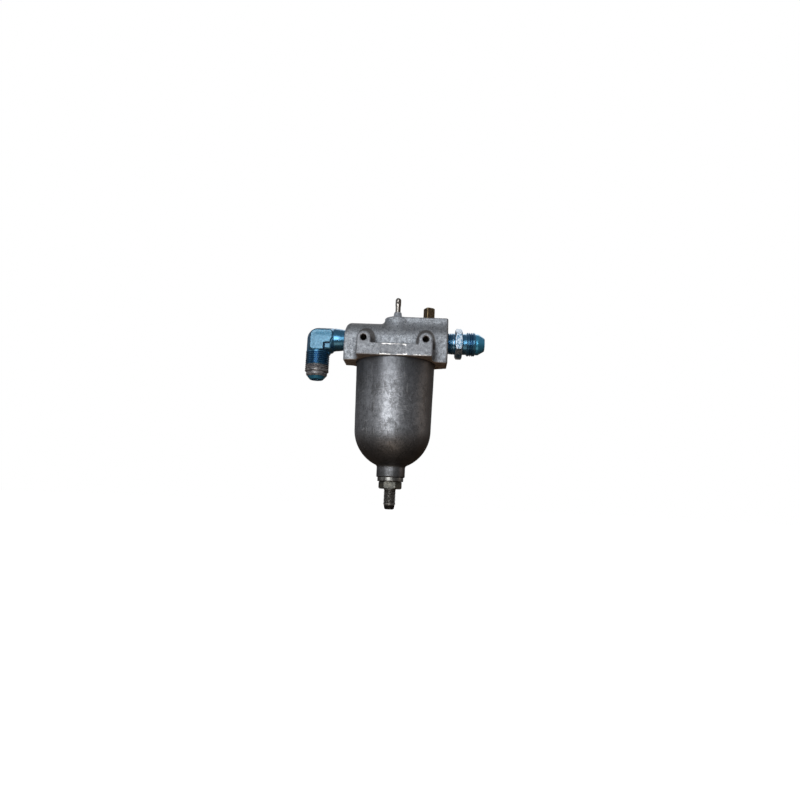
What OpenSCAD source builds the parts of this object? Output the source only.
// Fuel strainer with a bowl, a remotely pulled drain and two flared-tube fittings.
// Origin: midway between the two tapped holes, on the mounting pad's face.
// +X towards the outlet, +Y from the pad into the body, +Z up.
// Threads are plain cylinders at their crest diameter.

/* [Head casting] */
// Distance from the bowl axis to the face of the mounting pad
pad_reach = 34.2; // [33:0.1:38]
// Width of the mounting pad
pad_w = 57.6; // [56:0.1:60]
// Height of the pad's bar between the ears
bar_h = 9.4; // [8:0.1:11]
// Height of the tapped holes above the head's underside
hole_z = 13.15; // [12:0.05:14]
// Distance between the two tapped holes
hole_gap = 47; // [46:0.1:47.6]
// Radius of the tapped holes
hole_r = 2.4; // [1.8:0.1:3]
// Depth of the tapped holes
hole_depth = 14.5; // [8:0.5:15]
// Distance from the bowl axis to each end face of the gallery
end_x = 41; // [40:0.5:43]
// Radius of the gallery's rounded top, and its half depth
gallery_r = 14.2; // [13.8:0.1:15]
// Height of the port axis above the head's underside
port_z = 18.9; // [18:0.1:20]
// Height of the riser's flat top above the head's underside
riser_z = 37.8; // [36:0.1:39]
// Half width of the riser's straight part
riser_half = 8.8; // [8:0.1:10]
// Radius of the riser's round boss on the rod axis
riser_r = 10.3; // [10:0.1:11]
// Outer radius of the skirt round the bowl's mouth
skirt_r = 34; // [33.6:0.1:35]
// Height of the skirt
skirt_h = 9.4; // [8:0.1:11]

/* [Bowl] */
// Outer radius of the bowl at its rim
rim_r = 31.2; // [30.9:0.1:31.3]
// Outer radius of the bowl where the wall meets the dome
dome_r = 30; // [29:0.1:30.5]
// Height of the dome's centre
dome_z = -53; // [-56:0.5:-50]
// Thickness of the bowl's wall
wall = 2.3; // [1.8:0.1:2.8]
// Radius of the boss under the bowl
boss_r = 11.1; // [10.5:0.1:12]
// Height of the boss's lower face
boss_z = -89.7; // [-91:0.1:-88]

/* [Drain] */
// Radius of the pull rod where it leaves the head
rod_r = 2.1; // [1.9:0.05:2.15]
// Height of the pull rod's domed top at rest
rod_top = 56; // [52:0.5:60]
// Radius of the cross hole for the control wire
wire_r = 0.65; // [0.5:0.05:0.8]
// Crest radius of the drain nipple's thread
nipple_r = 4.7; // [4.6:0.01:4.7]
// Height of the drain nipple's lower end
nipple_end = -114.3; // [-118:0.1:-112]

/* [Fittings] */
// Crest radius of the flared-tube threads
flare_r = 9.525; // [9.3:0.005:9.6]
// Distance from the bowl axis to the axis of the elbow's lower arm
elbow_x = 63.2; // [62:0.1:65]
// Height of the elbow's lower end
elbow_end = -14.5; // [-16:0.1:-13]
// Distance from the bowl axis to the union's outer end
union_end = 70.4; // [69:0.1:72]
// Width across the flats of the union's hexagon
union_af = 22.2; // [20:0.1:24]

/* [Screen] */
// Outer radius of the screen's end caps
screen_r = 17.3; // [16:0.1:17.5]
// Height of the screen's lower cap
screen_z = -60; // [-62:0.5:-50]

/* [Hidden] */
$fn = 96;
pipe_r = 8.5;      // crest radius of the pipe threads in the head
gap = 0.05;        // radial clearance between mating plain threads of one body
ceiling = 4.5;     // height of the flat ceiling inside the head's mouth
rim_z = 3;         // height of the bowl's rim
ear_r = 5.3;       // radius of the ears round the tapped holes
socket_r = 6.35;   // crest radius of the standpipe's upper thread
socket_z = 12.5;   // height of the standpipe's upper end
chamber_r = 4.1;   // radius of the spring chamber in the head
chamber_z = 29.9;  // height of the spring chamber's top
tube_r = 4.45;     // outer radius of the standpipe's plain part
tube_bore = 3;     // inner radius of the standpipe

// Everything below is drawn about the bowl axis, with z = 0 at the head's underside.
module place() { translate([0, pad_reach, -hole_z]) children(); }

// A cylinder along X, from x0 to x1
module along_x(r, x0, x1, z = 0, y = 0) {
  translate([min(x0, x1), y, z]) rotate([0, 90, 0]) cylinder(r = r, h = abs(x1 - x0));
}

// A ring about the bowl axis
module ring(r_in, r_out, z0, z1) {
  translate([0, 0, z0]) difference() {
    cylinder(r = r_out, h = z1 - z0);
    translate([0, 0, -1]) cylinder(r = r_in, h = z1 - z0 + 2);
  }
}

// A solid of revolution from a closed outline of [radius, height] points
module turned(outline) { rotate_extrude() polygon(outline); }

// A helical compression spring of round wire, as one swept tube
module coil(r_mean, wire_r, z0, z1, turns, steps = 18, sides = 8) {
  n = ceil(turns * steps);
  rise = z1 - z0 - 2 * wire_r;
  points = [for (i = [0 : n]) let (a = 360 * turns * i / n, z = z0 + wire_r + rise * i / n)
    for (k = [0 : sides - 1]) let (b = 360 * k / sides, q = r_mean + wire_r * cos(b))
      [q * cos(a), q * sin(a), z + wire_r * sin(b)]];
  sidefaces = [for (i = [0 : n - 1]) for (k = [0 : sides - 1])
    [i * sides + k, i * sides + (k + 1) % sides,
     (i + 1) * sides + (k + 1) % sides, (i + 1) * sides + k]];
  first = [[for (k = [0 : sides - 1]) sides - 1 - k]];
  last = [[for (k = [0 : sides - 1]) n * sides + k]];
  polyhedron(points = points, faces = concat(sidefaces, first, last), convexity = 10);
}

// ---- head ----

// End view of the gallery: flat front and underside, rounded top, rounded lower back edge
module gallery_section() {
  back_r = 6;
  translate([0, port_z]) circle(r = gallery_r);
  translate([-gallery_r, 0]) square([2 * gallery_r - back_r, port_z]);
  translate([-gallery_r, back_r]) square([2 * gallery_r, port_z - back_r]);
  translate([gallery_r - back_r, back_r]) circle(r = back_r);
}

// Front view of the gallery and riser, with a rounded upper left corner
module gallery_front() {
  corner_r = 5;
  top = port_z + gallery_r;
  translate([-end_x, 0]) square([2 * end_x, top - corner_r]);
  translate([-end_x + corner_r, 0]) square([2 * end_x - corner_r, top]);
  translate([-end_x + corner_r, top - corner_r]) circle(r = corner_r);
}

// Front view of the mounting pad: a bar with two round-topped ears
module pad_front() {
  translate([-pad_w / 2, 0]) square([pad_w, bar_h]);
  for (s = [-1, 1]) {
    translate([s * hole_gap / 2, hole_z]) circle(r = ear_r);
    translate([s * hole_gap / 2 - ear_r, 0]) square([2 * ear_r, hole_z]);
  }
}

module head_solid() {
  // gallery
  intersection() {
    translate([-end_x, 0, 0]) rotate([90, 0, 90]) linear_extrude(2 * end_x) gallery_section();
    translate([0, 30, 0]) rotate([90, 0, 0]) linear_extrude(60) gallery_front();
  }
  // skirt round the bowl's mouth
  cylinder(r = skirt_r, h = skirt_h);
  // riser with its round boss
  translate([0, 0, port_z]) cylinder(r = riser_r, h = riser_z - port_z);
  translate([0, -riser_half, port_z]) cube([end_x, 2 * riser_half, riser_z - port_z]);
  // cast cone round the pull rod
  translate([0, 0, riser_z]) cylinder(r1 = 4.5, r2 = 2.95, h = 5.9);
  // mounting pad
  intersection() {
    translate([0, 0, 0]) rotate([90, 0, 0]) linear_extrude(pad_reach) pad_front();
    translate([-40, -pad_reach, -1]) cube([80, pad_reach - 12, 40]);
  }
}

module head_casting() {
  color("#a9a8a5") difference() {
    head_solid();
    // mouth for the bowl's rim and its gasket
    translate([0, 0, -1]) cylinder(r = 31.6, h = ceiling + 1);
    // inlet port and its passage down to the bowl, outside the screen
    along_x(pipe_r + gap, -end_x - 1, -end_x + 12, port_z);
    along_x(6, -end_x + 11, -19.5, port_z);
    translate([-23.5, 0, 0]) cylinder(r = 4, h = port_z);
    // outlet port and its passage up from inside the screen
    along_x(pipe_r + gap, end_x - 12, end_x + 1, port_z);
    along_x(5, 10.5, end_x - 11, port_z);
    translate([10.6, 0, 0]) cylinder(r = 2.9, h = port_z);
    // primer port
    translate([25.4, 0, riser_z - 9.5]) cylinder(r = 4.9, h = 10);
    translate([25.4, 0, port_z]) cylinder(r = 2.4, h = 12);
    // standpipe socket, spring chamber, seal seat, guide seat and rod bore
    translate([0, 0, 0]) cylinder(r = socket_r + gap, h = socket_z);
    translate([0, 0, socket_z - 1]) cylinder(r = chamber_r, h = chamber_z - socket_z + 1);
    cylinder(r = 3.8, h = 32);
    cylinder(r = 3, h = 37);
    cylinder(r = rod_r + 0.1, h = riser_z + 10);
    // tapped mounting holes
    for (s = [-1, 1])
      translate([s * hole_gap / 2, -pad_reach + hole_depth, hole_z])
        rotate([90, 0, 0]) cylinder(r = hole_r, h = hole_depth + 1);
  }
}

module rod_guide() {
  color("#a27b46") ring(rod_r + 0.05, 3, 32, 37);
}

module rod_seal() {
  color("#2b2b2b") translate([0, 0, 30.95]) rotate_extrude() translate([2.97, 0]) circle(r = 0.8);
}

module seal_washer() {
  color("#b9b9b6") ring(rod_r + 0.25, 4, 29, 29.9);
}

// ---- bowl ----

// The bowl's form, drawn in from its outside by t: a drafted wall on a hemisphere
module bowl_form(t, top) {
  cylinder(r = rim_r - t, h = top);
  translate([0, 0, dome_z]) cylinder(r1 = dome_r - t, r2 = rim_r - t, h = -dome_z);
  translate([0, 0, dome_z]) sphere(r = dome_r - t);
}

module bowl() {
  color("#6f7072") difference() {
    union() {
      bowl_form(0, rim_z);
      translate([0, 0, boss_z]) cylinder(r = boss_r, h = 14);
    }
    bowl_form(wall, rim_z + 1);
    // bore for the standpipe, and the seal's groove
    translate([0, 0, boss_z - 1]) cylinder(r = 4.85, h = 30);
    translate([0, 0, -86.9]) cylinder(r = 7, h = 2.4);
  }
}

module bowl_gasket() {
  color("#7a5d3c") ring(28.2, 31.4, rim_z, ceiling);
}

module bowl_seal() {
  color("#2b2b2b") translate([0, 0, -85.7]) rotate_extrude() translate([5.87, 0]) circle(r = 1.1);
}

module bowl_washer() {
  color("#cfd1d2") difference() {
    turned([[4.85, -92.9], [9.8, -92.9], [10.1, -92.6], [10.1, -90], [9.8, boss_z], [4.85, boss_z]]);
  }
}

module bowl_nut() {
  ac = 15.875 / cos(30) / 2;
  color("#7e8078") difference() {
    intersection() {
      translate([0, 0, -98.7]) cylinder(r = ac, h = 5.8, $fn = 6);
      turned([[0, -98.7], [7.9, -98.7], [9.2, -97.9], [9.2, -93.4], [8.3, -92.9], [0, -92.9]]);
    }
    translate([0, 0, -100]) cylinder(r = 4.76, h = 10);
  }
}

// ---- standpipe and drain ----

module standpipe() {
  color("#5c5b57") difference() {
    union() {
      translate([0, 0, ceiling]) cylinder(r = socket_r, h = socket_z - ceiling);
      translate([0, 0, 2]) cylinder(r = 7.3, h = ceiling - 2);
      translate([0, 0, -98.9]) cylinder(r = tube_r, h = 101);
      translate([0, 0, -110.4]) cylinder(r = nipple_r, h = 11.5);
      turned([[0, nipple_end], [3.2, nipple_end], [3.75, nipple_end + 0.6], [4.2, -110.4], [0, -110.4]]);
    }
    // bore, valve seat and outlet
    translate([0, 0, -95]) cylinder(r = tube_bore, h = 120);
    translate([0, 0, -96.2]) cylinder(r1 = 2.2, r2 = tube_bore, h = 1.21);
    translate([0, 0, nipple_end - 1]) cylinder(r = 2.2, h = 20);
    // groove for the retaining clip
    ring(4.05, 6, -71.9, -71.1);
    // inlet holes above the bowl's boss
    for (a = [0, 90]) rotate([0, 0, a]) translate([-6, 0, -76.5]) rotate([0, 90, 0])
      cylinder(r = 1.3, h = 12);
  }
}

module drain_rod() {
  color("#b5aea2") difference() {
    union() {
      translate([0, 0, 8]) cylinder(r = rod_r, h = 40.5);
      translate([0, 0, 48.5]) cylinder(r1 = rod_r, r2 = 2.3, h = 1.5);
      translate([0, 0, 50]) cylinder(r = 2.3, h = rod_top - 2.3 - 50);
      intersection() {
        translate([0, 0, rod_top - 2.3]) sphere(r = 2.3);
        translate([-5, -5, rod_top - 2.3]) cube([10, 10, 5]);
      }
      translate([0, 0, -92]) cylinder(r = 1.6, h = 100);
    }
    // cross hole for the control wire
    translate([0, 5, 51.5]) rotate([90, 0, 0]) cylinder(r = wire_r, h = 10);
    // cross hole for the collar's pin
    translate([-5, 0, 14]) rotate([0, 90, 0]) cylinder(r = 0.55, h = 10);
  }
}

module drain_valve_tip() {
  color("#2b2b2b") difference() {
    turned([[0, -96.4], [1.5, -96.4], [2.1, -96.1], [2.75, -95.1], [2.75, -93.8], [2.4, -93.2],
      [2.4, -90.4], [0, -90.4]]);
    translate([0, 0, -92.02]) cylinder(r = 1.6, h = 4);
  }
}

module spring_collar() {
  color("#a98a4b") difference() {
    ring(rod_r, 3.7, 12.7, 15.2);
    translate([-5, 0, 14]) rotate([0, 90, 0]) cylinder(r = 0.55, h = 10);
  }
}

module collar_pin() {
  color("#9b9b98") along_x(0.55, -3.6, 3.6, 14);
}

module drain_spring() {
  color("#9fa1a3") coil(3.2, 0.45, 15.2, 29, 6.5);
}

// ---- screen ----

module screen_gasket() {
  color("#2b2b2b") ring(14, 17, 3.6, ceiling);
}

module screen_top_cap() {
  color("#c3c4c2") turned([[14, 3.6], [screen_r, 3.6], [screen_r, -3], [16.4, -3], [16.4, 2.4], [14, 2.4]]);
}

module screen_bottom_cap() {
  color("#c3c4c2") turned([[4.9, screen_z], [screen_r, screen_z], [screen_r, screen_z + 6.4],
    [16.4, screen_z + 6.4], [16.4, screen_z + 1.2], [4.9, screen_z + 1.2]]);
}

module screen_cage() {
  z0 = screen_z + 1.2;
  tall = 2.4 - z0;
  tier = (tall - 8) / 3;
  color("#bfc0bd") difference() {
    ring(14.5, 15.2, z0, 2.4);
    for (k = [0 : 2]) for (a = [0 : 45 : 135]) rotate([0, 0, a])
      translate([-20, -4, z0 + 3 + k * (tier + 1)]) cube([40, 8, tier]);
  }
}

module screen_mesh() {
  color("#d2cfc4") ring(15.25, 16.2, screen_z + 1.2, 2.4);
}

module screen_spring() {
  color("#9fa1a3") coil(6.4, 0.6, -69.9, screen_z, 4);
}

module spring_seat() {
  color("#b9b9b6") ring(4.75, 8.2, -71.1, -69.9);
}

module retaining_clip() {
  color("#8f9092") difference() {
    ring(4.15, 6.6, -71.85, -71.15);
    translate([0, -1.8, -73]) cube([10, 3.6, 4]);
  }
}

// ---- fittings ----

// Threaded arm and 37 degree nose of a flared-tube end, from z = 0 outwards along +Z
module flare_nose(thread, neck, nose) {
  cylinder(r = flare_r, h = thread);
  translate([0, 0, thread - 0.01]) cylinder(r = 8.4, h = neck + 0.01);
  translate([0, 0, thread + neck]) cylinder(r1 = 8.4, r2 = 5.2, h = nose);
}

// Front view of the flat raised on both sides of the elbow's knuckle
module knuckle_front() {
  translate([-68.6, 9.2]) square([11, 13.6]);
  translate([-66.4, 22]) square([13, 3.2]);
  translate([-58, 14.6]) square([6.8, 8.4]);
  translate([-66.4, 23]) circle(r = 2.2);
  translate([-53.4, 23]) circle(r = 2.2);
}

module inlet_elbow() {
  color("#2f6f96") difference() {
    union() {
      along_x(pipe_r, -end_x + 11, -end_x, port_z);
      translate([-end_x, 0, port_z]) rotate([0, -90, 0]) cylinder(r1 = 8.2, r2 = 9.3, h = 11);
      along_x(9.3, -elbow_x, -end_x - 10.9, port_z);
      translate([-elbow_x, 0, port_z]) sphere(r = 9.3);
      translate([0, 9.6, 0]) rotate([90, 0, 0]) linear_extrude(19.2) knuckle_front();
      translate([-elbow_x, 0, 8.4]) cylinder(r = 9.3, h = port_z - 8.4);
      // web in the inner corner
      translate([-54.6, 4.5, 5.6]) rotate([90, 0, 0]) linear_extrude(9)
        polygon([[0, 3.2], [3.3, 3.2], [5.4, 5.2], [5.4, 8], [0, 8]]);
      translate([-elbow_x, 0, 8.5]) rotate([180, 0, 0])
        flare_nose(16.9, 2.6, 8.5 - elbow_end - 19.5);
    }
    along_x(4.35, -elbow_x, -20, port_z);
    translate([-elbow_x, 0, elbow_end - 1]) cylinder(r = 4.35, h = port_z - elbow_end + 1);
    translate([-elbow_x, 0, port_z]) sphere(r = 4.35);
  }
}

module outlet_union() {
  ac = union_af / cos(30) / 2;
  hex_x = 47;
  hex_w = 5.7;
  color("#3f7ba6") difference() {
    union() {
      along_x(pipe_r, end_x - 11, hex_x, port_z);
      intersection() {
        translate([hex_x, 0, port_z]) rotate([0, 90, 0]) cylinder(r = ac, h = hex_w, $fn = 6);
        translate([hex_x, 0, port_z]) rotate([0, 90, 0])
          turned([[0, 0], [11.3, 0], [13, 1], [13, hex_w - 1], [11.3, hex_w], [0, hex_w]]);
      }
      along_x(8.5, hex_x + hex_w, 56.2, port_z);
      translate([56.1, 0, port_z]) rotate([0, 90, 0]) flare_nose(6.7, 2.8, union_end - 65.6);
    }
    along_x(4.35, end_x - 12, union_end + 1, port_z);
  }
}

module primer_plug() {
  color("#5a4632") translate([25.4, 0, 0]) difference() {
    union() {
      translate([0, 0, riser_z - 9]) cylinder(r = 4.85, h = 10.2);
      intersection() {
        rotate([0, 0, 29]) translate([-3.57, -3.57, riser_z + 1.1]) cube([7.14, 7.14, 8.9]);
        turned([[0, 38], [6, 38], [6, 46], [4.2, 47.8], [0, 47.8]]);
      }
    }
    // lockwire hole through the square, and a drilled lightening bore below
    rotate([0, 0, 29]) translate([1.4, -5, 45.4]) rotate([-90, 0, 0]) cylinder(r = 0.6, h = 10);
    translate([0, 0, riser_z - 10]) cylinder(r = 2.4, h = 7);
  }
}

place() head_casting();
place() bowl();
place() bowl_gasket();
place() bowl_seal();
place() bowl_washer();
place() bowl_nut();
place() standpipe();
place() drain_rod();
place() drain_valve_tip();
place() drain_spring();
place() spring_collar();
place() collar_pin();
place() rod_seal();
place() seal_washer();
place() rod_guide();
place() screen_top_cap();
place() screen_bottom_cap();
place() screen_cage();
place() screen_mesh();
place() screen_gasket();
place() screen_spring();
place() spring_seat();
place() retaining_clip();
place() inlet_elbow();
place() outlet_union();
place() primer_plug();
